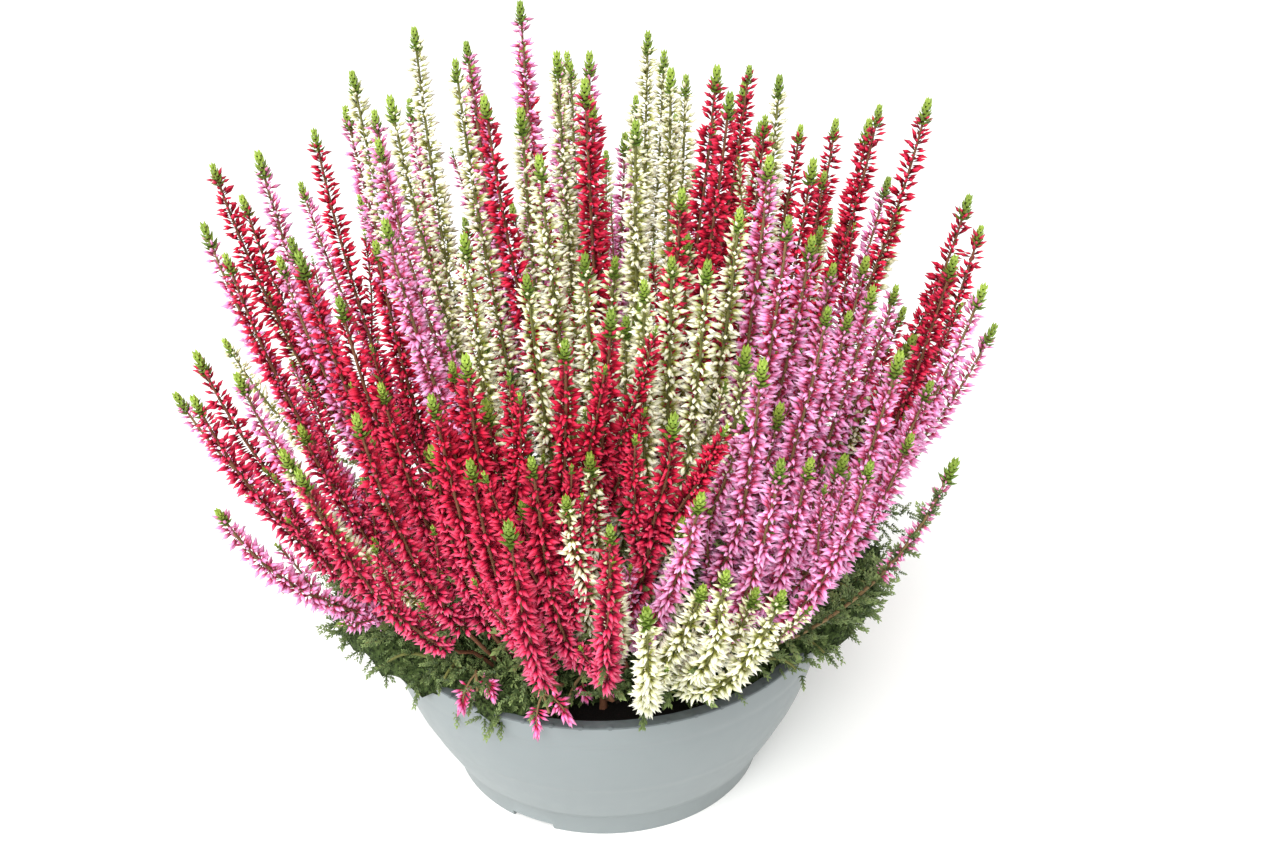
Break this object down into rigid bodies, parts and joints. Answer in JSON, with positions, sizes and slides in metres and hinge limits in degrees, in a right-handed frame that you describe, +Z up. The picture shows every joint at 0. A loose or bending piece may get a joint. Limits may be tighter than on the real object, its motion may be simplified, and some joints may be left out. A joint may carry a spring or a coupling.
{
  "type": "potted heather",
  "caption": "Mound of upright heather flower spikes in mixed colours, with leafy shoots at its foot, standing in soil in a low round bowl.",
  "frame": {"origin": "centre of the flat underside of the pot, on the pot's own axis", "axes": "+Z up along the pot's axis, -Y towards the viewer of the picture, +X to the viewer's right"},
  "size_m": [0.4116, 0.4127, 0.3873],
  "materials": {
    "pot": "smooth satin, pale blue-grey with a darker lip",
    "soil": "loose, dry, dark crumb",
    "crimson": "matt florets",
    "pink": "matt florets",
    "white": "matt florets",
    "leafy": "fine matt needles"
  },
  "bodies": {
    "root": {"leafy_01": "leafy", "leafy_02": "leafy", "leafy_03": "leafy", "leafy_04": "leafy", "leafy_05": "leafy", "leafy_06": "leafy", "leafy_07": "leafy", "leafy_08": "leafy", "leafy_09": "leafy", "leafy_10": "leafy", "leafy_11": "leafy", "leafy_12": "leafy", "pot": "pot", "soil": "soil", "spray_crimson_01": "crimson", "spray_crimson_02": "crimson", "spray_crimson_03": "crimson", "spray_crimson_04": "crimson", "spray_crimson_05": "crimson", "spray_crimson_06": "crimson", "spray_crimson_07": "crimson", "spray_crimson_08": "crimson", "spray_crimson_09": "crimson", "spray_crimson_10": "crimson", "spray_crimson_11": "crimson", "spray_crimson_12": "crimson", "spray_crimson_13": "crimson", "spray_crimson_14": "crimson", "spray_crimson_15": "crimson", "spray_pink_01": "pink", "spray_pink_02": "pink", "spray_pink_03": "pink", "spray_pink_04": "pink", "spray_pink_05": "pink", "spray_pink_06": "pink", "spray_pink_07": "pink", "spray_pink_08": "pink", "spray_pink_09": "pink", "spray_pink_10": "pink", "spray_pink_11": "pink", "spray_pink_12": "pink", "spray_pink_13": "pink", "spray_white_01": "white", "spray_white_02": "white", "spray_white_03": "white", "spray_white_04": "white", "spray_white_05": "white", "spray_white_06": "white", "spray_white_07": "white", "spray_white_08": "white", "spray_white_09": "white", "spray_white_10": "white", "spray_white_11": "white", "spray_white_12": "white", "spray_white_13": "white", "sprig_pink_01": "pink", "sprig_pink_02": "pink", "sprig_pink_03": "pink"}
  },
  "joints": []
}
